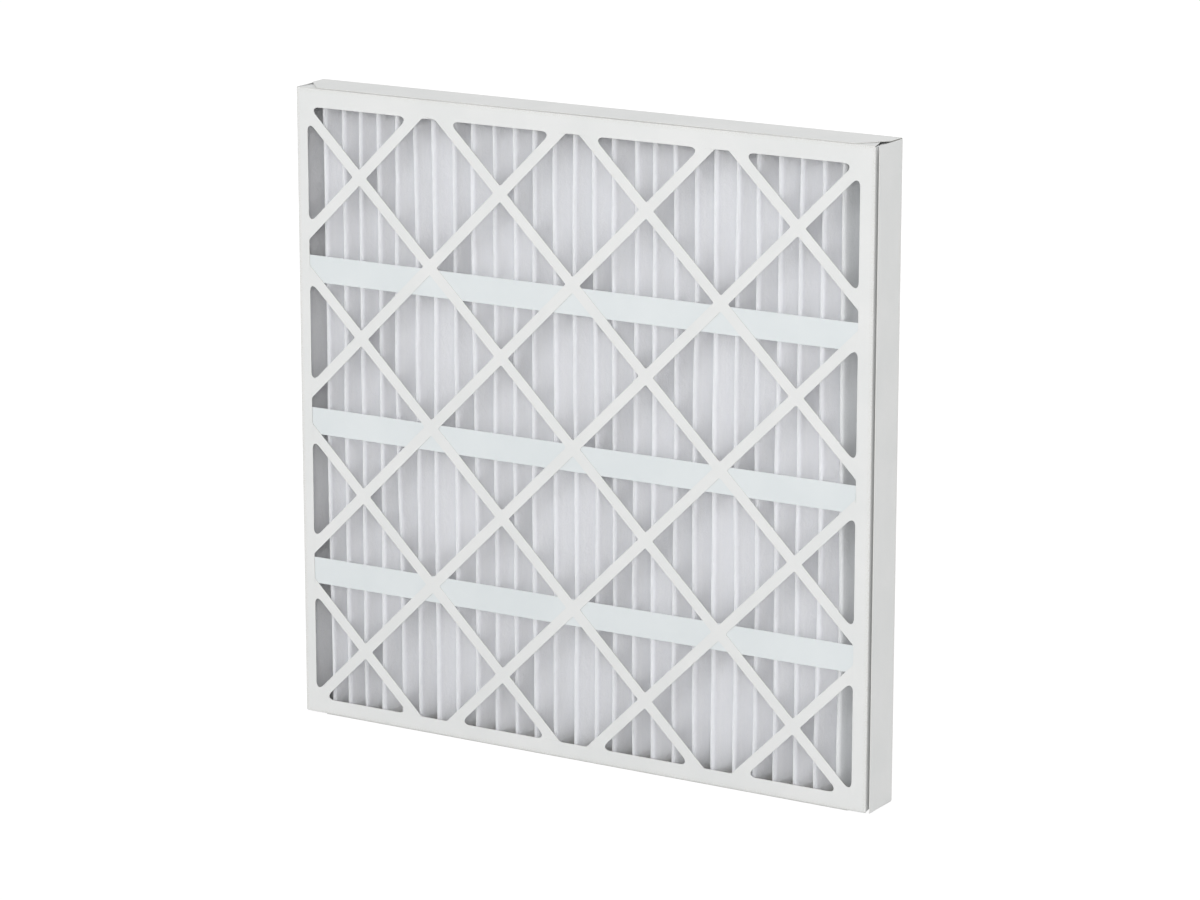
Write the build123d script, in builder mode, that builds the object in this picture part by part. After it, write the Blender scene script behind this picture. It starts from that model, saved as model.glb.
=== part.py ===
"""Pleated panel air filter: a pleated media pack in a two-piece frame of die-cut board.

The filter stands on its bottom edge. X runs across it, +Y from its front face to its rear
face and +Z up. The origin is the centre of its footprint, on the surface that it stands on.
Each tray of the frame is one folded blank: a face with a diamond lattice cut in it and four
flanges. The rear tray's flanges are the outside walls. The front tray's flanges are glued
inside them, so the walls are double.
"""

from build123d import *
from math import acos, atan2, copysign, degrees, hypot, pi, radians, sin, tan
import os

# ---------------------------------------------------------------- driving dimensions (mm)
filter_width = 594.0
filter_height = 594.0
filter_depth = 44.5

board = 0.7  # thickness of the frame's board
fold_radius = 1.0  # outside radius of a folded edge of the board
glue_gap = 0.3  # between the front tray's flanges and the rear tray's walls
slack_gap = 2.7  # the same at the right, because the front tray sits over to the left
nest_clearance = 0.3  # from the front tray's free edges to the rear tray's face
wall_setback = 1.5  # from the front face back to the free edges of the outside walls

flap_corner_along = 22.0  # cut-off corners of the top and bottom walls, along the free edge
flap_corner_deep = 24.0  # the same corners, from the free edge back
flap_slit = 0.5  # between a side wall and the end of the top or bottom wall
flange_taper = 14.0  # at the ends of the front tray's flanges, in degrees

# one lattice face, as seen from outside it, with its borders taken from the filter's outline
border_left = 12.1
border_right = 17.6
border_top = 18.1
border_bottom = 15.1
strut_width = 10.0
cells_across = 4
cells_up = 4
grid_to_window = 1.062  # size of the grid of cells to that of the window it is cut in
grid_shift_across = -1.7  # from the window's centre to the grid's centre
grid_shift_up = -3.5
border_corner_radius = 4.5  # where a strut runs into the border
hub_corner_cut = 1.4  # small flats where two struts cross

strap_width = 25.0
strap_thickness = 0.6
strap_pitch = 143.4
strap_drop = 14.2  # from mid-height down to the middle strap
strap_end_clearance = 1.0

media_thickness = 2.0  # also the outside radius of a fold, which is creased sharp inside
tip_clearance = 0.1  # between a fold and what it lies against
free_tip_count = 27  # front folds, without the one at each side wall
end_bay_left = 27.8  # from the wall's inside to the first free fold
end_bay_right = 28.6
tip_wander = (-3.3, -1.3, -1.8)  # stray from an even pitch, in 1, 2 and 3 half waves

bead_thickness = 0.5  # adhesive between the pack and the frame
bead_width = 12.0
bead_end_inset = 34.0  # from the outside of the frame to the end of a bead

tolerance = 0.01  # how near two places have to be to count as one

# ------------------------------------------------------------------------ derived places
front_y = -filter_depth / 2
rear_y = filter_depth / 2
mid_z = filter_height / 2

nest_x = (glue_gap - slack_gap) / 2  # middle of the front tray and of all that it holds
front_tray_width = filter_width - 2 * board - glue_gap - slack_gap
front_tray_height = filter_height - 2 * board - 2 * glue_gap
front_tray_depth = filter_depth - board - nest_clearance
rear_tray_depth = filter_depth - wall_setback
flange_step = (front_tray_depth - fold_radius) * tan(radians(flange_taper)) + fold_radius

room_width = front_tray_width - 2 * board  # the room is the space inside the double walls
room_height = front_tray_height - 2 * board
room_floor_z = mid_z - room_height / 2
room_top_z = mid_z + room_height / 2

strap_plane_y = front_y + board
pack_front_y = strap_plane_y + strap_thickness + tip_clearance
pack_rear_y = rear_y - board - tip_clearance
pack_height = room_height - 2 * bead_thickness

front_face = Plane(origin=(0, front_y, mid_z), x_dir=(1, 0, 0), z_dir=(0, -1, 0))
nested_face = Plane(origin=(nest_x, front_y, mid_z), x_dir=(1, 0, 0), z_dir=(0, -1, 0))
rear_face = Plane(origin=(0, rear_y, mid_z), x_dir=(-1, 0, 0), z_dir=(0, 1, 0))


# ------------------------------------------------------------------------- lattice trays
def near_outline(corner, outline):
    """True for a corner of the openings that lies on the outline of their window."""
    across = min(corner.X - outline.min.X, outline.max.X - corner.X)
    up = min(corner.Y - outline.min.Y, outline.max.Y - corner.Y)
    return min(across, up) < tolerance


def lattice_openings():
    """Diamonds and triangles of one face: a window crossed by two struts at every cell."""
    window_width = filter_width - border_left - border_right
    window_height = filter_height - border_top - border_bottom
    window_centre = Vector(border_left - border_right, border_bottom - border_top) / 2
    grid_centre = window_centre + Vector(grid_shift_across, grid_shift_up)
    cell_width = window_width * grid_to_window / cells_across
    cell_height = window_height * grid_to_window / cells_up
    strut_angle = degrees(atan2(cell_height, cell_width))
    strut_length = hypot(cell_width, cell_height) + strut_width

    with BuildSketch() as window:
        with Locations(window_centre):
            Rectangle(window_width, window_height)
        outline = window.sketch.bounding_box()
        with Locations(grid_centre):
            with GridLocations(cell_width, cell_height, cells_across, cells_up):
                Rectangle(strut_length, strut_width, rotation=strut_angle, mode=Mode.SUBTRACT)
                Rectangle(strut_length, strut_width, rotation=-strut_angle, mode=Mode.SUBTRACT)
        corners = window.vertices()
        fillet(corners.filter_by(lambda c: near_outline(c, outline)), border_corner_radius)
        hubs = [c for c in window.vertices() if c in corners and not near_outline(c, outline)]
        chamfer(hubs, length=hub_corner_cut)
    return window.sketch


def folded_blank(face_plane, width, height, depth):
    """Face and four flanges of one blank, folded back from the plane of its face."""
    outward = Axis(face_plane.origin, face_plane.z_dir)
    with BuildPart() as blank:
        with BuildSketch(face_plane):
            Rectangle(width, height)
        extrude(amount=-depth)
        fillet(blank.faces().sort_by(outward)[-1].edges(), fold_radius)
        with BuildSketch(face_plane.offset(-board)):
            Rectangle(width - 2 * board, height - 2 * board)
        extrude(amount=board - depth, mode=Mode.SUBTRACT)
        inside_face = blank.faces(Select.LAST).sort_by(outward)[-1]
        fillet(inside_face.edges(), fold_radius - board)
    return blank.part


openings = lattice_openings()

with BuildPart() as front_tray:
    add(folded_blank(nested_face, front_tray_width, front_tray_height, front_tray_depth))
    with BuildSketch(front_face):
        add(openings)
    extrude(amount=-board, mode=Mode.SUBTRACT)
    # each flange narrows from its fold to its free edge
    with BuildSketch(nested_face.offset(-front_tray_depth)):
        with GridLocations(front_tray_width, front_tray_height, 2, 2):
            Rectangle(2 * flange_step, 2 * flange_step)
    extrude(amount=front_tray_depth - fold_radius, taper=flange_taper, mode=Mode.SUBTRACT)

with BuildPart() as rear_tray:
    add(folded_blank(rear_face, filter_width, filter_height, rear_tray_depth))
    with BuildSketch(rear_face):
        add(openings)
    extrude(amount=-board, mode=Mode.SUBTRACT)
    # the top and bottom walls end short of the side walls and lose their free corners
    side = filter_width / 2 - board
    free_y = front_y + wall_setback
    with BuildSketch():
        with BuildLine():
            Polyline(
                (side, free_y),
                (side, rear_y - fold_radius),
                (side - flap_slit, rear_y - fold_radius),
                (side - flap_slit, free_y + flap_corner_deep),
                (side - flap_corner_along, free_y),
                close=True,
            )
        make_face()
        mirror(about=Plane.YZ)
    extrude(amount=filter_height, mode=Mode.SUBTRACT)

# --------------------------------------------------------------------------- media pack
front_crease_y = pack_front_y + media_thickness
rear_crease_y = pack_rear_y - media_thickness
pack_half_width = room_width / 2 - bead_thickness


def free_tip_x(index):
    """Place across the filter of one front fold, the first one being index 0."""
    part_way = index / (free_tip_count - 1)
    first = -room_width / 2 + end_bay_left
    last = room_width / 2 - end_bay_right
    stray = sum(wave * sin(n * pi * part_way) for n, wave in enumerate(tip_wander, start=1))
    return first + (last - first) * part_way + stray


def leaf_thickness(crease, next_crease):
    """Vector through a flat leaf, from its left face to its right face, at its true slope."""
    run = next_crease - crease
    turn = degrees(acos(media_thickness / run.length))
    return run.normalized().rotate(Axis.Z, copysign(turn, -run.Y)) * media_thickness


wall_crease_x = pack_half_width - media_thickness
front_xs = [-wall_crease_x, *map(free_tip_x, range(free_tip_count)), wall_crease_x]
creases = [Vector(front_xs[0], front_crease_y)]
for left_x, right_x in zip(front_xs, front_xs[1:]):
    creases.append(Vector((left_x + right_x) / 2, rear_crease_y))
    creases.append(Vector(right_x, front_crease_y))

# the leaves run between the creases, and the first and the last lie along the side walls
left_end = Vector(-pack_half_width, pack_rear_y)
right_end = Vector(pack_half_width, pack_rear_y)
straight_through = Vector(media_thickness, 0)
through = [leaf_thickness(crease, after) for crease, after in zip(creases, creases[1:])]
through = [straight_through, *through, straight_through]
leaf_ends = [left_end, *creases, right_end]

with BuildPart() as media_pack:
    with BuildSketch(Plane((nest_x, 0, room_floor_z + bead_thickness))):
        with BuildLine():
            for start, end, across in zip(leaf_ends, leaf_ends[1:], through):
                Line(start, end - across)
                Line(start + across, end)
            for crease, arriving, leaving in zip(creases, through, through[1:]):
                tip = Vector(0, copysign(media_thickness, crease.Y))
                ThreePointArc(crease - arriving, crease + tip, crease + leaving)
            Line(left_end, left_end + straight_through)
            Line(right_end, right_end - straight_through)
        make_face()
    extrude(amount=pack_height)

# ------------------------------------------------------------------ straps and adhesive
pieces = {"front_tray": front_tray, "rear_tray": rear_tray, "media_pack": media_pack}

for step, place in enumerate(("top", "middle", "bottom")):
    strap_z = -strap_drop + (1 - step) * strap_pitch
    with BuildPart() as strap:
        with BuildSketch(nested_face.offset(-board)):
            with Locations((0, strap_z)):
                Rectangle(room_width - 2 * strap_end_clearance, strap_width)
        extrude(amount=-strap_thickness)
    pieces[f"strap_{place}"] = strap

left_wall_x = nest_x - room_width / 2
right_wall_x = nest_x + room_width / 2
bead_seats = {
    "bottom": (Plane((nest_x, 0, room_floor_z)), filter_width),
    "top": (Plane((nest_x, 0, room_top_z), z_dir=(0, 0, -1)), filter_width),
    "left": (Plane((left_wall_x, 0, mid_z), (0, 0, 1), (1, 0, 0)), filter_height),
    "right": (Plane((right_wall_x, 0, mid_z), (0, 0, 1), (-1, 0, 0)), filter_height),
}
for place, (seat, side_length) in bead_seats.items():
    with BuildPart() as bead:
        with BuildSketch(seat):
            SlotOverall(side_length - 2 * bead_end_inset, bead_width)
        extrude(amount=bead_thickness)
    pieces[f"glue_bead_{place}"] = bead

# ----------------------------------------------------------------------------- output
os.makedirs("parts", exist_ok=True)
for name, piece in pieces.items():
    piece.part.label = name
    export_step(piece.part, f"parts/{name}.step")
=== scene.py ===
"""Looks of a pleated panel air filter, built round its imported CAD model.

Two nested trays of white-faced board, each with a diamond lattice cut in its face, hold a pack
of pleated fibre web. Three flat straps lie between the front lattice and the fold tips. Every
size is in metres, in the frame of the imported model: X runs across the filter, +Y from its front
face to its rear face and +Z up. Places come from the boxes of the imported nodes.
"""

from __future__ import annotations

import logging
import math
from dataclasses import dataclass
from enum import Enum

import bmesh
import bpy
from bmesh.types import BMEdge, BMesh, BMFace, BMVert
from bpy.types import Material, Node, NodeSocket, Object
from mathutils import Matrix, Vector, noise

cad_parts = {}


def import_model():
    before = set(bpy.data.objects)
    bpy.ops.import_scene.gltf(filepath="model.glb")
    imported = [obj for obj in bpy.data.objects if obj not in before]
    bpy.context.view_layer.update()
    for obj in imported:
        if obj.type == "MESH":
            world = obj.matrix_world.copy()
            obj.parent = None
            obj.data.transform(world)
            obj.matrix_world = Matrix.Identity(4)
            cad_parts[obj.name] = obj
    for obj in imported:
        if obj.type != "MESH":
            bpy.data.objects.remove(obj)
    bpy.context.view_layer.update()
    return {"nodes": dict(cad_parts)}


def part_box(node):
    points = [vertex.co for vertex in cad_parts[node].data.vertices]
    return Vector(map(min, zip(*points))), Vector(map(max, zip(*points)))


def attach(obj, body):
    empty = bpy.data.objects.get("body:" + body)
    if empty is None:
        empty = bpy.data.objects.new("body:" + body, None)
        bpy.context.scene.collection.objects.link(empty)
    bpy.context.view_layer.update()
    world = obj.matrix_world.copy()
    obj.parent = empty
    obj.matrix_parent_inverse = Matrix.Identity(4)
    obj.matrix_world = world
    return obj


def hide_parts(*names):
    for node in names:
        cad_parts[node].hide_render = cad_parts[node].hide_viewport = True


LOG = logging.getLogger("air_filter")
MM = 0.001
BODY = "root"

Colour = tuple[float, float, float]
Span = tuple[float, float]
Part = BMVert | BMEdge | BMFace


# --------------------------------------------------------------------------- shared helpers
def smooth_step(value: float) -> float:
    """Ease a value from 0 to 1, flat outside that range."""
    share = min(max(value, 0.0), 1.0)
    return share * share * (3 - 2 * share)


@dataclass(frozen=True)
class Swell:
    """Smooth and slow stray of a thin piece.

    Attributes:
        reach: How far the piece strays, in metres.
        lengths: Sizes of the swells along X, Y and Z, in metres.
        seed: Shift that gives each use its own swells.
        level: Stray between the swells, as a share of the reach.
        height: Height of a full swell from that level, as a share of the reach.
    """

    reach: float
    lengths: Vector
    seed: float
    level: float = 0.0
    height: float = 1.0

    def at(self, place: Vector) -> float:
        """Work out the stray at a place.

        Args:
            place: Point on the piece.

        Returns:
            The stray, in metres.
        """
        scaled = Vector(along / length for along, length in zip(place, self.lengths))
        swell = noise.noise(scaled + Vector((self.seed, self.seed, self.seed)))
        return self.reach * (self.level + self.height * swell)


@dataclass(frozen=True)
class Box:
    """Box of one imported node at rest."""

    low: Vector
    high: Vector

    @classmethod
    def of(cls, node: str) -> Box:
        """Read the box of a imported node."""
        return cls(*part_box(node))

    @property
    def size(self) -> Vector:
        """Width, depth and height of the box."""
        return self.high - self.low

    @property
    def centre(self) -> Vector:
        """Middle of the box."""
        return (self.low + self.high) / 2


def cut(bm: BMesh, place: Vector, normal: Vector) -> None:
    """Divide a whole mesh along a plane.

    Args:
        bm: Mesh to divide.
        place: Point on the plane.
        normal: Way across the plane.
    """
    geometry = [*bm.verts, *bm.edges, *bm.faces]
    bmesh.ops.bisect_plane(bm, geom=geometry, plane_co=place, plane_no=normal)


def verts_of(made: list[Part]) -> list[BMVert]:
    """Pick the vertices out of what an operator made."""
    return [part for part in made if isinstance(part, BMVert)]


def edges_of(made: list[Part]) -> list[BMEdge]:
    """Pick the edges out of what an operator made."""
    return [part for part in made if isinstance(part, BMEdge)]


def add_sheet(
    bm: BMesh, width: float, height: float, steps: tuple[int, int] = (1, 1)
) -> list[BMVert]:
    """Add a flat sheet in the XY plane, round the origin.

    Args:
        bm: Mesh to add to.
        width: Size along X.
        height: Size along Y.
        steps: Divisions along X and Y.

    Returns:
        The vertices of the sheet.
    """
    grid = bmesh.ops.create_grid(bm, x_segments=steps[0], y_segments=steps[1], size=0.5)
    bmesh.ops.scale(bm, vec=(width, height, 1.0), verts=grid["verts"])
    return grid["verts"]


def new_object(name: str, data: bpy.types.ID) -> Object:
    """Put new data into the scene as an object at the origin.

    Args:
        name: Name of the object.
        data: Its mesh, camera or light.

    Returns:
        The object.
    """
    made = bpy.data.objects.new(name, data)
    bpy.context.scene.collection.objects.link(made)
    return made


def raise_edges(bm: BMesh, edges: list[BMEdge]) -> tuple[list[BMVert], list[BMEdge]]:
    """Extrude a row of edges, which leaves the new row to be moved.

    Args:
        bm: Mesh that holds the edges.
        edges: The row to extrude.

    Returns:
        Vertices and edges of the new row.
    """
    made = bmesh.ops.extrude_edge_only(bm, edges=edges)["geom"]
    verts = verts_of(made)
    raised = set(verts)
    return verts, [edge for edge in edges_of(made) if raised.issuperset(edge.verts)]


# --------------------------------------------------------------------------------- finishes
@dataclass(frozen=True)
class Pattern:
    """Noise of a finish, and the part of its range that shows.

    Attributes:
        scale: Swells to the metre.
        detail: Octaves of finer noise.
        swirl: How far the noise is distorted.
        low: Noise below which none of the pattern shows.
        high: Noise above which the most of it shows.
        most: The most that shows, as a share.
    """

    scale: float
    detail: float
    swirl: float = 0.0
    low: float = 0.3
    high: float = 0.7
    most: float = 1.0


class NodeGraph:
    """Node tree of a material or of the world, with short calls for its nodes."""

    def __init__(self, owner: Material | bpy.types.World) -> None:
        """Take the node tree of a material or of the world."""
        owner.use_nodes = True
        self.tree = owner.node_tree

    def node(self, kind: str, **settings: object) -> Node:
        """Add a node.

        Args:
            kind: Blender's name of the node's type.
            settings: Properties of the node.

        Returns:
            The node.
        """
        made = self.tree.nodes.new(kind)
        for name, value in settings.items():
            setattr(made, name, value)
        return made

    def feed(self, socket: NodeSocket, source: object) -> None:
        """Link an output to a socket, or set the socket to a constant.

        Args:
            socket: Input to feed.
            source: Output to link, or the constant.
        """
        if isinstance(source, NodeSocket):
            self.tree.links.new(source, socket)
        else:
            socket.default_value = source

    def combine(self, operation: str, first: object, second: object) -> NodeSocket:
        """Add a Math node.

        Args:
            operation: Blender's name of what it does.
            first: Output or number.
            second: Output or number.

        Returns:
            The result.
        """
        maths = self.node("ShaderNodeMath", operation=operation)
        self.feed(maths.inputs[0], first)
        self.feed(maths.inputs[1], second)
        return maths.outputs["Value"]


class ShaderGraph(NodeGraph):
    """Nodes of one finish, which ends in a Principled shader."""

    def __init__(self, name: str) -> None:
        """Start an empty material.

        Args:
            name: Name of the material.
        """
        self.material = bpy.data.materials.new(name)
        super().__init__(self.material)
        self.shader = self.tree.nodes["Principled BSDF"]
        self.place = self.node("ShaderNodeTexCoord").outputs["Object"]

    def turned(self, scale: Colour, turn: Colour = (0.0, 0.0, 0.0)) -> NodeSocket:
        """Stretch and turn the Object coordinates for a pattern with a direction.

        Args:
            scale: Factor along X, Y and Z, under 1 for strands that run that way.
            turn: Turn round X, Y and Z, in radians.

        Returns:
            The changed coordinates.
        """
        mapping = self.node("ShaderNodeMapping")
        self.feed(mapping.inputs["Vector"], self.place)
        self.feed(mapping.inputs["Rotation"], turn)
        self.feed(mapping.inputs["Scale"], scale)
        return mapping.outputs["Vector"]

    def noise(self, pattern: Pattern, place: NodeSocket | None = None) -> NodeSocket:
        """Add the noise of a pattern.

        Args:
            pattern: Its scale, detail and swirl.
            place: Coordinates to read, or None for the plain Object coordinates.

        Returns:
            The noise, mostly from 0.3 to 0.7.
        """
        texture = self.node("ShaderNodeTexNoise")
        self.feed(texture.inputs["Vector"], place or self.place)
        self.feed(texture.inputs["Scale"], pattern.scale)
        self.feed(texture.inputs["Detail"], pattern.detail)
        self.feed(texture.inputs["Distortion"], pattern.swirl)
        return texture.outputs["Fac"]

    def spread(self, value: NodeSocket, pattern: Pattern, out: Span) -> NodeSocket:
        """Map the part of a pattern's range that shows on to another range, clamped.

        Args:
            value: The pattern's noise.
            pattern: Its range.
            out: Results at the low and at the high end of that range.

        Returns:
            The mapped value.
        """
        mapped = self.node("ShaderNodeMapRange")
        self.feed(mapped.inputs["Value"], value)
        self.feed(mapped.inputs["From Min"], pattern.low)
        self.feed(mapped.inputs["From Max"], pattern.high)
        self.feed(mapped.inputs["To Min"], out[0])
        self.feed(mapped.inputs["To Max"], out[1])
        return mapped.outputs["Result"]

    def share(self, pattern: Pattern) -> NodeSocket:
        """Add a pattern and give how much of it shows, from 0 to its most."""
        return self.spread(self.noise(pattern), pattern, (0.0, pattern.most))

    def attribute(self, name: str) -> NodeSocket:
        """Read a value that the piece stores at its points."""
        return self.node("ShaderNodeAttribute", attribute_name=name).outputs["Fac"]

    def blend(self, share: NodeSocket, first: object, second: object) -> NodeSocket:
        """Mix two colours.

        Args:
            share: How much of the second colour shows.
            first: Colour or output.
            second: Colour or output.

        Returns:
            The mixed colour.
        """
        mix = self.node("ShaderNodeMix", data_type="RGBA")
        self.feed(mix.inputs["Factor"], share)
        for socket, colour in ((mix.inputs["A"], first), (mix.inputs["B"], second)):
            self.feed(socket, (*colour, 1.0) if isinstance(colour, tuple) else colour)
        return mix.outputs["Result"]

    def relief(self, height: NodeSocket, depth: float) -> NodeSocket:
        """Turn a pattern into a bumped normal.

        Args:
            height: The pattern.
            depth: How far it goes from low to high, in metres.

        Returns:
            The normal.
        """
        bump = self.node("ShaderNodeBump")
        self.feed(bump.inputs["Strength"], 1.0)
        self.feed(bump.inputs["Distance"], depth)
        self.feed(bump.inputs["Height"], height)
        return bump.outputs["Normal"]

    def dress(self, **sockets: object) -> Material:
        """Feed the Principled shader and finish.

        Args:
            sockets: Source of each socket, whose name has _ for a space.

        Returns:
            The material.
        """
        for name, source in sockets.items():
            self.feed(self.shader.inputs[name.replace("_", " ")], source)
        return self.material


@dataclass(frozen=True)
class BoardFinish:
    """Clay-coated board: faint mottle, paper grain, and fine cracks where it is creased.

    Attributes:
        mottle: Colour of the clouds in the coating.
        core: Colour of the fibres under it, which flecks, cracks and cut edges show.
        grain_lay: Stretch of the grain, which runs up the board.
        waves: Faint waves of the surface.
        wave_weight: Height of the waves, in heights of the grain.
        gloss_change: How far the grain takes the roughness down and up.
        plies: Pressed fibres of a cut edge.
    """

    name: str
    face: Colour
    mottle: Colour
    core: Colour
    clouds: Pattern = Pattern(21.0, 4.0, low=0.34, high=0.66)
    grain: Pattern = Pattern(1500.0, 3.0)
    grain_lay: Colour = (1.0, 1.0, 0.22)
    flecks: Pattern = Pattern(5200.0, 2.0, low=0.62, high=0.78, most=0.35)
    cracks: Pattern = Pattern(900.0, 3.0, low=0.46, high=0.6, most=0.5)
    waves: Pattern = Pattern(130.0, 2.0)
    wave_weight: float = 1.6
    roughness: float = 0.62
    gloss_change: Span = (-0.06, 0.08)
    face_relief: float = 0.05 * MM
    plies: Pattern = Pattern(2600.0, 3.0, swirl=0.6, low=0.38, high=0.66, most=0.8)
    edge_relief: float = 0.09 * MM

    def face_material(self) -> Material:
        """Make the coated surface of the board.

        Returns:
            The material.
        """
        graph = ShaderGraph(f"{self.name}_face")
        clouds = graph.share(self.clouds)
        grain = graph.noise(self.grain, graph.turned(self.grain_lay))
        tone = graph.blend(clouds, self.face, self.mottle)
        tone = graph.blend(graph.share(self.flecks), tone, self.core)
        crease = graph.attribute("crease")
        cracks = graph.combine("MULTIPLY", crease, graph.share(self.cracks))
        tone = graph.blend(cracks, tone, self.core)
        waves = graph.combine("MULTIPLY", graph.noise(self.waves), self.wave_weight)
        smoothest, roughest = (self.roughness + change for change in self.gloss_change)
        return graph.dress(
            Base_Color=tone,
            Roughness=graph.spread(grain, self.grain, (smoothest, roughest)),
            Specular_IOR_Level=0.35,
            Normal=graph.relief(graph.combine("ADD", grain, waves), self.face_relief),
        )

    def edge_material(self) -> Material:
        """Make the raw cut edge, which shows the compressed fibres of the core.

        Returns:
            The material.
        """
        graph = ShaderGraph(f"{self.name}_cut_edge")
        plies = graph.noise(self.plies)
        share = graph.spread(plies, self.plies, (0.0, self.plies.most))
        return graph.dress(
            Base_Color=graph.blend(share, self.face, self.core),
            Roughness=0.86,
            Specular_IOR_Level=0.2,
            Normal=graph.relief(plies, self.edge_relief),
        )


@dataclass(frozen=True)
class WebFinish:
    """Nonwoven fibre web: cloudy, matte and fuzzy, with strands that run every way.

    It is darker near the faces, where painted shade dims the fold tips and the web is also
    compressed, and greyer at the right end bay, where the side wall's shade is painted into its
    colour. The piece stores both shares at its points, as ``pressed_and_shade`` and
    ``end_shade_share``.

    Attributes:
        dense: Colour of the web's dense clouds.
        thin: Colour of its thin clouds.
        hollow: Colour between the strands.
        fuzz: Short strands that run no way in particular.
        strands: Long strands, one layer for each of ``strand_turns``.
        strand_lay: Stretch of a layer along its strands.
        gap_share: How far the colour goes to ``hollow`` between the strands.
    """

    name: str
    dense: Colour
    thin: Colour
    hollow: Colour
    # painted shade on the fold tips near both faces, which also stands for compressed web there
    pressed_and_shade: Colour
    # painted shade of the right end bay, where the side wall keeps light off the web
    end_bay_shade: Colour
    clouds: Pattern = Pattern(75.0, 5.0, swirl=0.4, low=0.36, high=0.64)
    fuzz: Pattern = Pattern(1900.0, 2.0)
    strands: Pattern = Pattern(1500.0, 1.0, swirl=0.8, low=0.5, high=0.72)
    strand_lay: Colour = (1.0, 1.0, 0.12)
    strand_turns: tuple[float, ...] = (0.3, 1.2, 2.1, 2.8)
    gap_share: float = 0.7
    relief: float = 0.26 * MM

    def material(self) -> Material:
        """Make the web, which lets some light through.

        Returns:
            The material.
        """
        graph = ShaderGraph(self.name)
        clouds = graph.share(self.clouds)
        strands = graph.noise(self.fuzz)
        for turn in self.strand_turns:
            lay = graph.turned(self.strand_lay, (turn, turn / 2, turn))
            strands = graph.combine("MAXIMUM", strands, graph.noise(self.strands, lay))
        gaps = graph.spread(strands, self.strands, (1.0, 0.0))
        tone = graph.blend(clouds, self.dense, self.thin)
        gaps = graph.combine("MULTIPLY", gaps, self.gap_share)
        tone = graph.blend(gaps, tone, self.hollow)
        # painted shade: darker near the faces and at the right end bay
        for mark, colour in (("pressed_and_shade", self.pressed_and_shade), ("end_shade_share", self.end_bay_shade)):
            tone = graph.blend(graph.attribute(mark), tone, colour)
        return graph.dress(
            Base_Color=tone,
            Roughness=0.92,
            Specular_IOR_Level=0.12,
            Subsurface_Weight=1.0,
            Subsurface_Radius=(1.0, 1.0, 1.0),
            Subsurface_Scale=0.015,
            Sheen_Weight=0.12,
            Sheen_Roughness=0.5,
            Normal=graph.relief(graph.combine("ADD", strands, clouds), self.relief),
        )


@dataclass(frozen=True)
class GlueFinish:
    """Hot-melt adhesive: milky, a little glossy, and uneven where it has flowed."""

    name: str
    body: Colour
    thin: Colour
    flow: Pattern = Pattern(260.0, 3.0, swirl=0.5)
    roughness: Span = (0.28, 0.44)
    relief: float = 0.2 * MM

    def material(self) -> Material:
        """Make the set adhesive.

        Returns:
            The material.
        """
        graph = ShaderGraph(self.name)
        flow = graph.noise(self.flow)
        return graph.dress(
            Base_Color=graph.blend(flow, self.body, self.thin),
            Roughness=graph.spread(flow, self.flow, self.roughness),
            Subsurface_Weight=0.3,
            Subsurface_Scale=0.001,
            Normal=graph.relief(flow, self.relief),
        )


FRAME_BOARD = BoardFinish(
    "frame_board",
    face=(0.712, 0.717, 0.712),
    mottle=(0.682, 0.692, 0.687),
    core=(0.56, 0.545, 0.5),
)
STRAP_BOARD = BoardFinish(
    "strap_board",
    face=(0.672, 0.705, 0.714),
    mottle=(0.645, 0.682, 0.692),
    core=(0.56, 0.56, 0.53),
)
FILTER_WEB = WebFinish(
    "filter_web",
    dense=(0.972, 0.981, 1.0),
    thin=(0.96, 0.969, 1.0),
    hollow=(0.93, 0.94, 0.98),
    # painted shade of the fold tips near the faces, partly compressed web
    pressed_and_shade=(0.62, 0.632, 0.68),
    # painted shade of the right end bay
    end_bay_shade=(0.6, 0.615, 0.625),
)
HOT_MELT = GlueFinish("hot_melt", body=(0.78, 0.74, 0.62), thin=(0.7, 0.64, 0.48))


# ----------------------------------------------------------------------------- sheet pieces
@dataclass(frozen=True)
class SheetStock:
    """Thickness of a flat stock, and how its cut edges are eased."""

    thickness: float
    edge_ease: float = 0.1 * MM
    ease_steps: int = 2
    ease_angle: float = math.radians(50)

    def finish(
        self,
        name: str,
        bm: BMesh,
        materials: tuple[Material, ...],
        slot: str,
        stands_for: str,
    ) -> Object:
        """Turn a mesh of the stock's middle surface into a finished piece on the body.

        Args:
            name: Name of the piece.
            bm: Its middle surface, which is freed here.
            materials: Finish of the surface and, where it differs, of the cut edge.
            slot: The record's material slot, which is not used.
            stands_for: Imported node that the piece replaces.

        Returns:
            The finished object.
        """
        mesh = bpy.data.meshes.new(name)
        bmesh.ops.recalc_face_normals(bm, faces=bm.faces)
        bm.to_mesh(mesh)
        bm.free()
        mesh.shade_smooth()
        for material in materials:
            mesh.materials.append(material)
        piece = new_object(name, mesh)
        wall = piece.modifiers.new("wall", "SOLIDIFY")
        wall.thickness = self.thickness
        wall.offset = 0.0
        wall.material_offset_rim = len(materials) - 1
        if self.edge_ease:
            ease = piece.modifiers.new("eased_edge", "BEVEL")
            ease.width = self.edge_ease
            ease.segments = self.ease_steps
            ease.limit_method = "ANGLE"
            ease.angle_limit = self.ease_angle
            ease.use_clamp_overlap = False
            ease.harden_normals = True
        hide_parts(stands_for)
        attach(piece, BODY)
        return piece


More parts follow.
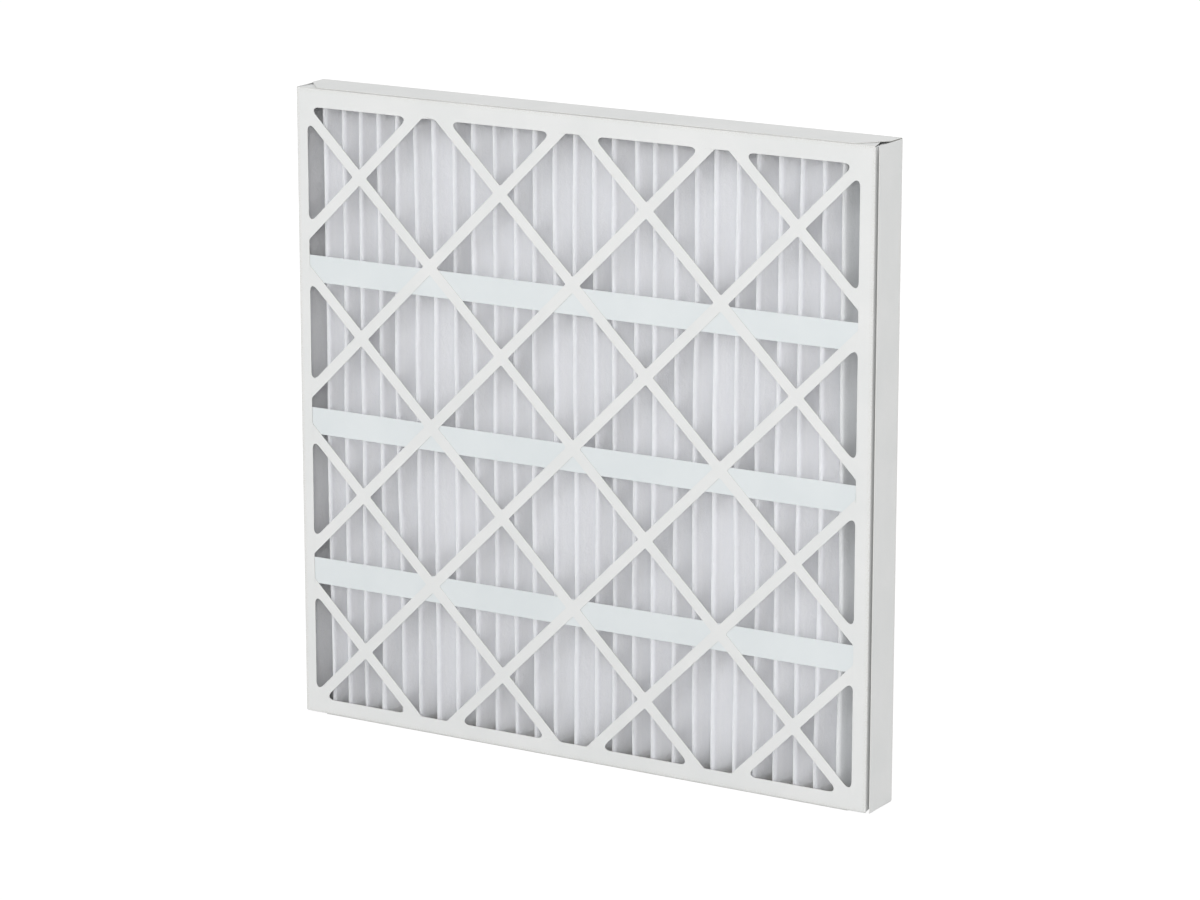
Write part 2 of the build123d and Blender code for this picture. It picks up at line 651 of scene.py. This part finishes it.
@dataclass(frozen=True)
class Lattice:
    """Diamond lattice of a tray's face, as seen from outside it.

    The borders are taken from the filter's outline. Struts run along both diagonals of every
    cell of a grid that is a little larger than the window it crosses.
    """

    border_left: float = 12.1 * MM
    border_right: float = 17.6 * MM
    border_top: float = 18.1 * MM
    border_bottom: float = 15.1 * MM
    strut_width: float = 10.0 * MM
    cells: int = 4
    grid_to_window: float = 1.062
    grid_shift: Span = (-1.7 * MM, -3.5 * MM)
    border_radius: float = 4.5 * MM
    hub_radius: float = 1.6 * MM
    corner_steps: int = 9
    smallest_opening: float = 100 * MM**2
    touch: float = 0.01 * MM
    setback_places: int = 6  # setbacks that agree to so many decimals are cut together

    def window(self, width: float, height: float) -> tuple[Vector, Vector]:
        """Place the window that the struts cross.

        Args:
            width: Width of the filter's outline.
            height: Height of the filter's outline.

        Returns:
            The window's size, and its centre from the outline's.
        """
        size = Vector(
            (
                width - self.border_left - self.border_right,
                height - self.border_top - self.border_bottom,
            )
        )
        centre = Vector(
            (self.border_left - self.border_right, self.border_bottom - self.border_top)
        )
        return size, centre / 2

    def openings(self, width: float, height: float) -> BMesh:
        """Cut the window along the struts and round the corners of what is left.

        Args:
            width: Width of the filter's outline.
            height: Height of the filter's outline.

        Returns:
            A mesh in the XY plane with one face for each opening.
        """
        size, centre = self.window(width, height)
        bm = bmesh.new()
        window = add_sheet(bm, *size)
        bmesh.ops.translate(bm, vec=(*centre, 0.0), verts=window)
        hub = (centre + Vector(self.grid_shift)).to_3d()
        cell = size * self.grid_to_window / self.cells
        spacing = cell.x * cell.y / cell.length
        rows = range(1 - self.cells, self.cells)
        normals = [Vector((cell.y, turn * cell.x, 0.0)).normalized() for turn in (-1, 1)]
        for normal in normals:
            for row in rows:
                for side in (-1, 1):
                    edge = hub + normal * (row * spacing + side * self.strut_width / 2)
                    cut(bm, edge, normal)

        def in_strut(face: BMFace) -> bool:
            """Tell whether a face of the cut window belongs to a strut.

            Args:
                face: Face to test.

            Returns:
                True for a piece of strut, and for a sliver between struts.
            """
            for normal in normals:
                away = (face.calc_center_median() - hub).dot(normal)
                row = round(away / spacing)
                if row in rows and abs(away - row * spacing) < self.strut_width / 2:
                    return True
            return face.calc_area() < self.smallest_opening

        struts = [face for face in bm.faces if in_strut(face)]
        bmesh.ops.delete(bm, geom=struts, context="FACES")
        self._round_corners(bm, size, centre)
        return bm

    def _round_corners(self, bm: BMesh, size: Vector, centre: Vector) -> None:
        """Round the corners of the openings, more at the window's outline than at a hub.

        Args:
            bm: Mesh with one face for each opening.
            size: Size of the window.
            centre: Its centre.
        """
        low, high = centre - size / 2, centre + size / 2
        groups: dict[float, list[BMVert]] = {}
        for face in bm.faces:
            for loop in face.loops:
                x, y, _ = loop.vert.co
                clearance = min(x - low.x, high.x - x, y - low.y, high.y - y)
                radius = self.border_radius if clearance < self.touch else self.hub_radius
                setback = radius / math.tan(loop.calc_angle() / 2)
                setback = round(setback, self.setback_places)
                groups.setdefault(setback, []).append(loop.vert)
        for setback, corners in groups.items():
            bmesh.ops.bevel(
                bm,
                geom=corners,
                offset=setback,
                offset_type="OFFSET",
                segments=self.corner_steps,
                profile=0.5,
                affect="VERTICES",
                material=-1,
            )


class Facing(Enum):
    """Which way a tray's face looks. A value turns the face's own frame to the filter's."""

    FRONT = Matrix(((1, 0, 0), (0, 0, -1), (0, 1, 0))).to_4x4()
    REAR = Matrix(((-1, 0, 0), (0, 0, 1), (0, 1, 0))).to_4x4()


@dataclass(frozen=True)
class WallRow:
    """One row of a folded wall: its depth behind the face and how far its ends step in."""

    depth: float
    step_in: float = 0.0


@dataclass
class BoardTray:
    """One blank of board: a lattice face with four walls folded back from it.

    It is built in the face's own frame, where X and Y run across the face and +Z looks out of
    it, and then turned to its place.

    Attributes:
        outline: Box of the whole filter.
        side_rows: Rows of the two side walls, from the fold to the free edge.
        end_rows: Rows of the top and bottom walls.
        seed: Shift of the swells that the board warps in.
        wall_bow: How far a wall's free edge leans inwards.
        patch: Size of the patches that the board is divided into.
        face_dent: How far the face dips between its folds.
        dent_ease: Distance from a fold over which the dip sets in.
        crease_reach: How far the wear of a fold spreads.
        swell: Length of the face's swells.
        wall_stretch: Length of a wall's swells, in lengths of the face's.
        wall_shift: Shift from the face's swells to the walls'.
    """

    node: str
    facing: Facing
    outline: Box
    side_rows: tuple[WallRow, ...]
    end_rows: tuple[WallRow, ...]
    seed: float
    wall_bow: float = 0.0
    lattice: Lattice = Lattice()
    stock: SheetStock = SheetStock(0.7 * MM)
    fold_radius: float = 1.0 * MM
    fold_steps: int = 5
    patch: float = 18.0 * MM
    weld: float = 0.08 * MM
    face_dent: float = 0.35 * MM
    dent_ease: float = 20.0 * MM
    crease_reach: float = 3.5 * MM
    swell: Vector = Vector((74, 74, 74)) * MM
    wall_stretch: float = 2.2
    wall_shift: float = 5.0

    @property
    def box(self) -> Box:
        """Box of the tray's node."""
        return Box.of(self.node)

    @property
    def half(self) -> Vector:
        """Half width and half height of the face, up to the start of its folds."""
        size = self.box.size
        return Vector((size.x, size.z)) / 2 - Vector((1, 1)) * self.fold_radius

    @property
    def walls(self) -> tuple[tuple[Vector, tuple[WallRow, ...]], ...]:
        """Pair each wall's rows with the way to it from the middle of the face.

        Returns:
            A direction and the rows of a wall, for each of the four.
        """
        return (
            (Vector((1, 0, 0)), self.side_rows),
            (Vector((-1, 0, 0)), self.side_rows),
            (Vector((0, 1, 0)), self.end_rows),
            (Vector((0, -1, 0)), self.end_rows),
        )

    def build(self) -> Object:
        """Cut the face, fold the walls, warp the board a little and finish the piece.

        Returns:
            The finished tray.
        """
        bm = self._flat_face()
        for direction, rows in self.walls:
            self._fold_wall(bm, direction, rows)
        self._divide(bm)
        self._mark_creases(bm)
        self._warp(bm)
        plane = self.outline.low.y if self.facing is Facing.FRONT else self.outline.high.y
        place = Matrix.Translation((self.box.centre.x, plane, self.box.centre.z))
        bmesh.ops.transform(bm, matrix=place @ self.facing.value, verts=bm.verts)
        materials = (FRAME_BOARD.face_material(), FRAME_BOARD.edge_material())
        return self.stock.finish(f"{self.node}_board", bm, materials, "frame_board", self.node)

    def _flat_face(self) -> BMesh:
        """Fill the face round its openings, at the middle of the board.

        Returns:
            A mesh of the flat face.
        """
        bm = self.lattice.openings(self.outline.size.x, self.outline.size.z)
        away = self.outline.centre - self.box.centre
        off_centre = self.facing.value.transposed() @ Vector((away.x, 0, away.z))
        bmesh.ops.translate(bm, vec=off_centre, verts=bm.verts)
        bmesh.ops.delete(bm, geom=list(bm.faces), context="FACES_KEEP_BOUNDARY")
        rim = add_sheet(bm, 2 * self.half.x, 2 * self.half.y)
        blank = list({face for vert in rim for face in vert.link_faces})
        bmesh.ops.delete(bm, geom=blank, context="FACES_KEEP_BOUNDARY")
        bmesh.ops.triangle_fill(bm, edges=list(bm.edges), use_beauty=True, normal=(0, 0, 1))
        bmesh.ops.translate(bm, vec=(0, 0, -self.stock.thickness / 2), verts=bm.verts)
        return bm

    def _fold_wall(self, bm: BMesh, direction: Vector, rows: tuple[WallRow, ...]) -> None:
        """Fold one wall back from the edge of the face.

        Args:
            bm: Mesh of the tray.
            direction: Way from the middle of the face to that edge.
            rows: Rows of the wall, from the fold to its free edge.
        """
        reach = abs(direction.dot(self.half.to_3d()))
        along = Vector((0, 0, 1)).cross(direction)
        span = abs(along.dot(self.half.to_3d()))
        middle = self.stock.thickness / 2

        def on_fold(vert: BMVert) -> bool:
            """Tell whether a vertex lies on this edge of the flat face."""
            at_edge = abs(vert.co.dot(direction) - reach) < self.weld
            return at_edge and abs(vert.co.z + middle) < self.weld

        swept = bmesh.ops.spin(
            bm,
            geom=[edge for edge in bm.edges if all(on_fold(vert) for vert in edge.verts)],
            cent=direction * reach - Vector((0, 0, self.fold_radius)),
            axis=along,
            angle=math.radians(90),
            steps=self.fold_steps,
        )
        edges = edges_of(swept["geom_last"])
        for row in rows:
            verts, edges = raise_edges(bm, edges)
            for vert in verts:
                side = math.copysign(1.0, vert.co.dot(along))
                vert.co += along * (side * (span - row.step_in) - vert.co.dot(along))
                vert.co.z = -row.depth

    def _divide(self, bm: BMesh) -> None:
        """Divide the tray into patches, so that it can warp, and where its wear ends.

        Args:
            bm: Mesh of the tray.
        """
        size = self.box.size
        cuts = []
        for axis, reach in enumerate((size.x / 2, size.z / 2, size.y)):
            normal = Vector((0, 0, 0))
            normal[axis] = 1.0
            count = int(reach / self.patch)
            cuts += [
                (normal * step * self.patch, normal) for step in range(-count, count + 1)
            ]
        for direction, _ in self.walls:
            reach = abs(direction.dot(self.half.to_3d())) - self.crease_reach
            cuts.append((direction * reach, direction))
        down = Vector((0, 0, -1))
        cuts.append((down * (self.fold_radius + self.crease_reach), down))
        for place, normal in cuts:
            cut(bm, place, normal)
        bmesh.ops.remove_doubles(bm, verts=bm.verts, dist=self.weld)

    def _mark_creases(self, bm: BMesh) -> None:
        """Store how near each point is to a fold, for the finish.

        Args:
            bm: Mesh of the tray.
        """
        half = self.half
        layer = bm.verts.layers.float.new("crease")
        for vert in bm.verts:
            from_fold = min(abs(abs(vert.co.x) - half.x), abs(abs(vert.co.y) - half.y))
            depth = max(-vert.co.z - self.fold_radius, 0.0)
            away = max(from_fold if depth == 0.0 else 0.0, depth)
            vert[layer] = 1 - smooth_step(away / self.crease_reach)

    def _warp(self, bm: BMesh) -> None:
        """Let the face dip slightly between its folds, and the walls lean inwards.

        Args:
            bm: Mesh of the tray.
        """
        half = self.half
        wall_depth = self.box.size.y
        dent = Swell(self.face_dent, self.swell, self.seed, level=0.5, height=0.5)
        lean = Swell(
            self.wall_bow,
            self.swell * self.wall_stretch,
            self.seed + self.wall_shift,
            level=0.55,
            height=0.9,
        )
        for vert in bm.verts:
            x, y, z = vert.co
            inside = min(half.x - abs(x), half.y - abs(y))
            if inside > 0:
                vert.co.z -= dent.at(vert.co) * smooth_step(inside / self.dent_ease)
            elif z < -self.fold_radius and self.wall_bow:
                bow = max((-z / wall_depth) ** 2 * lean.at(vert.co), 0.0)
                axis = 0 if abs(x) > half.x else 1
                vert.co[axis] -= math.copysign(bow, vert.co[axis])


@dataclass
class TraySet:
    """The two nested trays of the frame.

    Attributes:
        flange_taper: Angle by which the front tray's walls narrow from their folds.
        corner_along: Cut-off corner of an outside end wall, along its free edge.
        corner_deep: The same corner, from the free edge back.
        side_slit: Slit between a side wall and an end wall.
        wall_bow: How far the outside walls' free edges lean inwards.
    """

    outline: Box
    flange_taper: float = math.radians(14)
    corner_along: float = 21.5 * MM
    corner_deep: float = 24.0 * MM
    side_slit: float = 0.2 * MM
    wall_bow: float = 0.2 * MM
    front_seed: float = 3.0
    rear_seed: float = 11.0

    def build(self) -> list[Object]:
        """Build the front tray, whose walls are tapered, and the rear tray round it.

        Returns:
            The two trays.
        """
        front_depth = Box.of("front_tray").size.y
        rear_depth = Box.of("rear_tray").size.y
        taper = (front_depth - BoardTray.fold_radius) * math.tan(self.flange_taper)
        tapered = (WallRow(front_depth, taper),)
        cut_corner = (
            WallRow(rear_depth - self.corner_deep, self.side_slit),
            WallRow(rear_depth, self.side_slit + self.corner_along),
        )
        front = BoardTray(
            "front_tray",
            Facing.FRONT,
            self.outline,
            side_rows=tapered,
            end_rows=tapered,
            seed=self.front_seed,
        )
        rear = BoardTray(
            "rear_tray",
            Facing.REAR,
            self.outline,
            side_rows=(WallRow(rear_depth),),
            end_rows=cut_corner,
            seed=self.rear_seed,
            wall_bow=self.wall_bow,
        )
        return [front.build(), rear.build()]


@dataclass
class Strap:
    """One flat strap of board, which lies across the fold tips and waves a little."""

    node: str
    seed: float
    stock: SheetStock = SheetStock(0.6 * MM)
    divisions: tuple[int, int] = (96, 3)
    wave: float = 0.06 * MM
    swell: Vector = Vector((40, 40, 40)) * MM

    def build(self) -> Object:
        """Lay the strap in the box of its node.

        Returns:
            The finished strap.
        """
        box = Box.of(self.node)
        bm = bmesh.new()
        add_sheet(bm, box.size.x, box.size.z, self.divisions)
        place = Matrix.Translation(box.centre) @ Facing.FRONT.value
        bmesh.ops.transform(bm, matrix=place, verts=bm.verts)
        bm.verts.layers.float.new("crease")  # left at 0, because the strap has no fold
        waves = Swell(self.wave, self.swell, self.seed)
        for vert in bm.verts:
            vert.co.y += waves.at(vert.co)
        materials = (STRAP_BOARD.face_material(), STRAP_BOARD.edge_material())
        return self.stock.finish(f"{self.node}_board", bm, materials, "strap_board", self.node)


# ---------------------------------------------------------------------------- pleated media
@dataclass
class PleatPack:
    """The fibre web, folded back and forth between the two faces and glued at its ends.

    Attributes:
        wall_share: Share of that thickness that the finished web has.
        fold_radius: Radius of a fold at the middle of the web.
        free_tips: Front folds, without the one at each side wall.
        end_bay_left: From the wall's inside to the first free fold.
        wall_gap: From the wall's inside to the box of the pack.
        wander: Stray of the folds from an even pitch, in 1, 2 and 3 half waves.
        lean: Slow stray of whole folds to the left and right.
        stray: Quicker stray of the folds.
        belly: Bulge of the leaves, halfway between front and rear.
        tip_dip: How far the folds fall short of the faces.
        stray_ease: Distance from a side wall over which the strays set in.
        tip_shade_reach: How far from a face shade is painted on the web, which is also compressed
            there.
        end_shade_reach: How far from the right wall the end bay's shade is painted on the web.
        end_shade_fade: Distance over which that painted shade ends.
    """

    node: str = "media_pack"
    thickness: float = 2.0 * MM
    wall_share: float = 0.95
    fold_radius: float = 1.55 * MM
    free_tips: int = 27
    end_bay_left: float = 27.8 * MM
    end_bay_right: float = 28.6 * MM
    wall_gap: float = 0.5 * MM
    wander: tuple[float, ...] = (-3.3 * MM, -1.3 * MM, -1.8 * MM)
    fold_steps: int = 6
    leaf_steps: int = 6
    levels: int = 44
    lean: Swell = Swell(3.2 * MM, Vector((29, 900, 330)) * MM, seed=6.0)
    stray: Swell = Swell(0.8 * MM, Vector((26, 90, 75)) * MM, seed=2.0)
    belly: Swell = Swell(1.1 * MM, Vector((17, 60, 70)) * MM, seed=9.0)
    tip_dip: Swell = Swell(
        0.4 * MM, Vector((14, 60, 60)) * MM, seed=17.0, level=0.5, height=0.5
    )
    stray_ease: float = 14.0 * MM
    tip_shade_reach: float = 4.5 * MM
    end_shade_reach: float = 26.0 * MM
    end_shade_fade: float = 8.0 * MM

    @property
    def box(self) -> Box:
        """Box of the pack's node."""
        return Box.of(self.node)

    @property
    def inset(self) -> float:
        """From a face of the box to the centres of the folds beside it."""
        return self.thickness / 2 + self.fold_radius

    def _tip_places(self) -> list[float]:
        """Place the front folds across the filter.

        Returns:
            Their places along X, from one side wall to the other.
        """
        box = self.box
        first = box.low.x - self.wall_gap + self.end_bay_left
        last = box.high.x + self.wall_gap - self.end_bay_right
        places = []
        for index in range(self.free_tips):
            share = index / (self.free_tips - 1)
            waves = enumerate(self.wander, start=1)
            stray = sum(wave * math.sin(n * math.pi * share) for n, wave in waves)
            places.append(first + (last - first) * share + stray)
        return [box.low.x + self.inset, *places, box.high.x - self.inset]

    def _creases(self) -> list[Vector]:
        """Place the centres of all the folds in plan.

        Returns:
            The centres, front and rear in turn.
        """
        front = self.box.low.y + self.inset
        rear = self.box.high.y - self.inset
        tips = self._tip_places()
        creases = [Vector((tips[0], front, 0))]
        for left, right in zip(tips, tips[1:]):
            creases.append(Vector(((left + right) / 2, rear, 0)))
            creases.append(Vector((right, front, 0)))
        return creases

    def _across(self, start: Vector, end: Vector) -> Vector:
        """Find the way across a leaf, from one fold's side to the other's.

        Args:
            start: Centre of the fold before the leaf.
            end: Centre of the fold after it.

        Returns:
            The vector, as long as the folds are wide.
        """
        run = end - start
        turn = math.acos(2 * self.fold_radius / run.length)
        turned = Matrix.Rotation(math.copysign(turn, -run.y), 3, "Z") @ run.normalized()
        return turned * 2 * self.fold_radius

    def _fold_line(self, bm: BMesh) -> float:
        """Draw the folded web's middle line in plan, leaf by leaf and fold by fold.

        Args:
            bm: Empty mesh to draw in.

        Returns:
            The developed length of the web.
        """
        box = self.box
        creases = self._creases()
        straight = Vector((2 * self.fold_radius, 0, 0))
        across = [self._across(start, end) for start, end in zip(creases, creases[1:])]
        across = [straight, *across, straight]
        to_middle = Vector((self.thickness / 2, 0, 0))
        vert = bm.verts.new(Vector((box.low.x, box.high.y, 0)) + to_middle)
        for crease, arriving, leaving in zip(creases, across, across[1:]):
            vert = self._leaf(bm, vert, crease - arriving / 2)
            tip_side = -1 if crease.y < box.centre.y else 1
            first = math.atan2(-arriving.y, -arriving.x)
            second = math.atan2(leaving.y, leaving.x)
            swept = bmesh.ops.spin(
                bm,
                geom=[vert],
                cent=crease,
                axis=(0, 0, 1),
                angle=-tip_side * ((-tip_side * (second - first)) % math.tau),
                steps=self.fold_steps,
            )
            vert = verts_of(swept["geom_last"])[0]
        self._leaf(bm, vert, Vector((box.high.x, box.high.y, 0)) - to_middle)
        return sum(edge.calc_length() for edge in bm.edges)

    def _leaf(self, bm: BMesh, vert: BMVert, end: Vector) -> BMVert:
        """Draw one flat leaf in plan.

        Args:
            bm: Mesh to draw in.
            vert: Vertex that it starts from.
            end: Place where it ends.

        Returns:
            The vertex at its end.
        """
        step = (end - vert.co) / self.leaf_steps
        for _ in range(self.leaf_steps):
            vert = bmesh.ops.extrude_vert_indiv(bm, verts=[vert])["verts"][0]
            vert.co += step
        return vert

    def _mark(self, bm: BMesh) -> None:
        """Store the shares of painted shade, for the finish: near the faces, where the web is
        also compressed, and at the right end bay.

        Args:
            bm: Mesh of the web.
        """
        box = self.box
        # shares of painted shade: near the faces and at the right end bay
        pressed_and_shade = bm.verts.layers.float.new("pressed_and_shade")
        end_shade_share = bm.verts.layers.float.new("end_shade_share")
        for vert in bm.verts:
            # painted shade of the right end bay, fading out away from the right wall
            from_wall = box.high.x - vert.co.x
            vert[end_shade_share] = 1 - smooth_step((from_wall - self.end_shade_reach) / self.end_shade_fade)
            from_face = box.size.y / 2 - abs(vert.co.y - box.centre.y)
            vert[pressed_and_shade] = 1 - smooth_step(from_face / self.tip_shade_reach)

    def _relax(self, bm: BMesh) -> None:
        """Let the folds stray a little and the leaves belly, as a soft web does.

        Args:
            bm: Mesh of the web.
        """
        box = self.box
        for vert in bm.verts:
            place = vert.co.copy()
            forward = (place.y - box.centre.y) / (box.size.y / 2)
            inside = min(place.x - box.low.x, box.high.x - place.x)
            bulge = self.belly.at(place) * math.cos(forward * math.pi / 2)
            sideways = self.lean.at(place) + self.stray.at(place) + bulge
            vert.co.x += smooth_step(inside / self.stray_ease) * sideways
            vert.co.y -= self.tip_dip.at(place) * forward

    def build(self) -> Object:
        """Fold the web, raise it to the height of the pack and finish it.

        Returns:
            The finished web.
        """
        box = self.box
        bm = bmesh.new()
        developed = self._fold_line(bm)
        bmesh.ops.translate(bm, vec=(0, 0, box.low.z), verts=bm.verts)
        rise = Vector((0, 0, box.size.z / self.levels))
        edges = list(bm.edges)
        for _ in range(self.levels):
            verts, edges = raise_edges(bm, edges)
            bmesh.ops.translate(bm, vec=rise, verts=verts)
        self._mark(bm)
        self._relax(bm)
        stock = SheetStock(self.thickness * self.wall_share, edge_ease=0.0)
        piece = stock.finish(
            "pleated_web", bm, (FILTER_WEB.material(),), "filter_media", self.node
        )
        return piece


@dataclass
class GlueBeads:
    """Beads of adhesive that seal the pack to the frame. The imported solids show."""

    places: tuple[str, ...] = ("top", "bottom", "left", "right")

    def dress(self, nodes: dict[str, Object]) -> None:
        """Give each bead its finish.

        Args:
            nodes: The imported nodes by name.
        """
        finish = HOT_MELT.material()
        for place in self.places:
            bead = nodes[f"glue_bead_{place}"]
            bead.data.materials.clear()
            bead.data.materials.append(finish)


# ---------------------------------------------------------------------------------- studio
@dataclass(frozen=True)
class Viewpoint:
    """The camera: where it stands and which way it looks."""

    stand: Vector = Vector((1.973, -3.318, 1.266))
    turn_left: float = math.radians(30.6)
    look_down: float = math.radians(14.24)
    lens: float = 133.4
    sensor: float = 36.0
    farthest: float = 100.0

    def build(self) -> None:
        """Make the scene's camera."""
        data = bpy.data.cameras.new("camera")
        data.lens = self.lens
        data.sensor_width = self.sensor
        data.clip_end = self.farthest
        camera = new_object("camera", data)
        camera.location = self.stand
        camera.rotation_euler = (math.radians(90) - self.look_down, 0.0, self.turn_left)
        bpy.context.scene.camera = camera


@dataclass(frozen=True)
class SoftLamp:
    """A large soft lamp that looks at the filter.

    Attributes:
        name: Name of the lamp.
        stand: Where it hangs.
        size: Width of its disk.
        level: Light that it adds to a white face turned to it, 1 being white.
    """

    name: str
    stand: Vector
    size: float
    level: float

    def build(self, target: Vector) -> None:
        """Hang the lamp.

        Args:
            target: What it looks at.
        """
        away = self.stand - target
        data = bpy.data.lights.new(self.name, "AREA")
        data.shape = "DISK"
        data.size = self.size
        # a disk's energy, spread over its half space, fades with the square of the distance
        data.energy = self.level * math.pi**2 * away.length_squared
        lamp = new_object(self.name, data)
        lamp.location = self.stand
        lamp.rotation_euler = away.to_track_quat("Z", "Y").to_euler()


@dataclass
class Studio:
    """Pale floor, white surroundings and soft light.

    Attributes:
        target: Middle of the filter, which the lamps look at.
        floor_tone: Tone with which the floor throws light back.
        shadow_share: Tone of the part of the floor's white that a shadow takes away.
        sky_level: Light of the surroundings on the filter.
    """

    target: Vector
    floor_reach: float = 30.0
    floor_tone: float = 0.8
    shadow_share: float = 0.12
    sky_level: float = 0.66
    lamps: tuple[SoftLamp, ...] = (
        SoftLamp("key_lamp", Vector((2.4, -5.7, 2.4)), size=2.4, level=0.35),
        SoftLamp("fill_lamp", Vector((-3.0, -4.4, 3.4)), size=3.0, level=0.16),
        SoftLamp("back_lamp", Vector((0.8, 4.4, 1.7)), size=3.0, level=0.53),
    )

    def build(self) -> None:
        """Lay the floor, light the scene and set plain colours."""
        bpy.context.scene.view_settings.view_transform = "Standard"
        self._floor()
        self._surroundings()
        for lamp in self.lamps:
            lamp.build(self.target)

    def _seen(self, graph: NodeGraph) -> NodeSocket:
        """Tell the rays that show the background: camera, glossy and transmission rays.

        Args:
            graph: Nodes to add to.

        Returns:
            An output that is 1 for those rays and 0 for the rest.
        """
        path = graph.node("ShaderNodeLightPath")
        total = path.outputs["Is Camera Ray"]
        for kind in ("Is Glossy Ray", "Is Transmission Ray"):
            total = graph.combine("MAXIMUM", total, path.outputs[kind])
        return total

    def _diffuse(self, graph: NodeGraph, tone: float) -> NodeSocket:
        """Add a plain grey diffuse shader.

        Args:
            graph: Nodes to add to.
            tone: Its grey.

        Returns:
            The shader's output.
        """
        shader = graph.node("ShaderNodeBsdfDiffuse")
        graph.feed(shader.inputs["Color"], (tone, tone, tone, 1.0))
        return shader.outputs["BSDF"]

    def _floor_material(self) -> Material:
        """Make the floor white where it shows, but for a faint shadow, and pale elsewhere.

        Returns:
            The material.
        """
        material = bpy.data.materials.new("floor_white")
        graph = NodeGraph(material)
        graph.tree.nodes.clear()
        glow = graph.node("ShaderNodeEmission")
        graph.feed(glow.inputs["Strength"], 1.0 - self.shadow_share / 2)
        shown = graph.node("ShaderNodeAddShader")
        graph.feed(shown.inputs[0], self._diffuse(graph, self.shadow_share))
        graph.feed(shown.inputs[1], glow.outputs["Emission"])
        pick = graph.node("ShaderNodeMixShader")
        graph.feed(pick.inputs["Fac"], self._seen(graph))
        graph.feed(pick.inputs[1], self._diffuse(graph, self.floor_tone))
        graph.feed(pick.inputs[2], shown.outputs["Shader"])
        output = graph.node("ShaderNodeOutputMaterial")
        graph.feed(output.inputs["Surface"], pick.outputs["Shader"])
        return material

    def _floor(self) -> None:
        """Lay the floor."""
        bm = bmesh.new()
        add_sheet(bm, self.floor_reach, self.floor_reach)
        mesh = bpy.data.meshes.new("floor")
        bm.to_mesh(mesh)
        bm.free()
        mesh.materials.append(self._floor_material())
        new_object("floor", mesh)

    def _surroundings(self) -> None:
        """Surround the scene with soft light, seen as white."""
        world = bpy.data.worlds.new("surroundings")
        bpy.context.scene.world = world
        graph = NodeGraph(world)
        level = graph.node("ShaderNodeMapRange")
        graph.feed(level.inputs["Value"], self._seen(graph))
        graph.feed(level.inputs["To Min"], self.sky_level)
        graph.feed(level.inputs["To Max"], 1.0)
        background = graph.tree.nodes["Background"]
        graph.feed(background.inputs["Color"], (1.0, 1.0, 1.0, 1.0))
        graph.feed(background.inputs["Strength"], level.outputs["Result"])


# ------------------------------------------------------------------------------------ main
def main() -> None:
    """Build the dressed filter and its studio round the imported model."""
    logging.basicConfig(level=logging.INFO, format="%(name)s: %(message)s")
    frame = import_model()
    front, rear = Box.of("front_tray"), Box.of("rear_tray")
    outline = Box(Vector((rear.low.x, front.low.y, rear.low.z)), rear.high)
    Viewpoint().build()
    Studio(outline.centre).build()
    for tray in TraySet(outline).build():
        LOG.info("built %s", tray.name)
    for seed, place in enumerate(("top", "middle", "bottom"), start=20):
        LOG.info("built %s", Strap(f"strap_{place}", float(seed)).build().name)
    LOG.info("built %s", PleatPack().build().name)
    GlueBeads().dress(frame["nodes"])
    LOG.info("dressed the glue beads")


if __name__ == "__main__":
    main()
